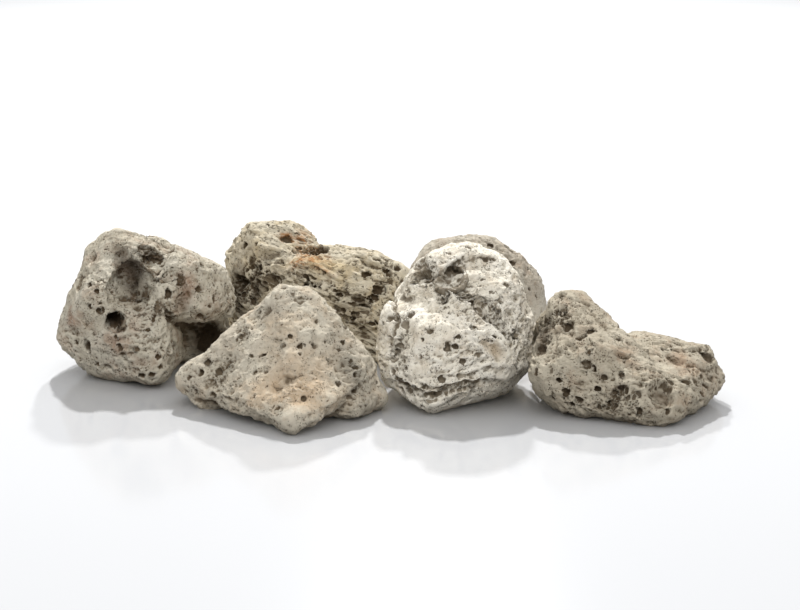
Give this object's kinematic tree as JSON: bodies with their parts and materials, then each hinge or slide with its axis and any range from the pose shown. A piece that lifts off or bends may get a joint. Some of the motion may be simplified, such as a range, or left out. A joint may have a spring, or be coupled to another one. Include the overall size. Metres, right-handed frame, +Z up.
{
  "type": "pumice stone set",
  "caption": "Loose lumps of natural pumice for ponds and aquariums: rounded, pitted, each with a flat worn foot, lying together in a row.",
  "frame": {"origin": "on the resting surface, under the middle of the group's bounding box", "axes": "+X to the right along the row of stones, +Y to the back, +Z up"},
  "size_m": [0.232, 0.142, 0.052],
  "materials": {
    "cratered_pumice": "rough, grey-beige, with brown hollows",
    "wedge_pumice": "rough, beige, tan near the foot",
    "streaked_pumice": "rough, brown-grey with rust-orange streaks",
    "pale_pumice": "rough, off-white, chalky",
    "domed_pumice": "fine-grained, grey-brown",
    "saddle_pumice": "rough, olive-grey, darker"
  },
  "bodies": {
    "cratered_stone": {"cratered_stone": "cratered_pumice"},
    "wedge_stone": {"wedge_stone": "wedge_pumice"},
    "streaked_stone": {"streaked_stone": "streaked_pumice"},
    "pale_stone": {"pale_stone": "pale_pumice"},
    "domed_stone": {"domed_stone": "domed_pumice"},
    "saddle_stone": {"saddle_stone": "saddle_pumice"}
  },
  "joints": [
    {"name": "cratered_lift", "type": "slide", "parent": "pale_stone", "child": "cratered_stone", "axis": [0, 0, 1], "range_m": [0, 0.08]},
    {"name": "wedge_lift", "type": "slide", "parent": "pale_stone", "child": "wedge_stone", "axis": [0, 0, 1], "range_m": [0, 0.08]},
    {"name": "streaked_lift", "type": "slide", "parent": "pale_stone", "child": "streaked_stone", "axis": [0, 0, 1], "range_m": [0, 0.08]},
    {"name": "domed_lift", "type": "slide", "parent": "pale_stone", "child": "domed_stone", "axis": [0, 0, 1], "range_m": [0, 0.08]},
    {"name": "saddle_lift", "type": "slide", "parent": "pale_stone", "child": "saddle_stone", "axis": [0, 0, 1], "range_m": [0, 0.08]}
  ]
}
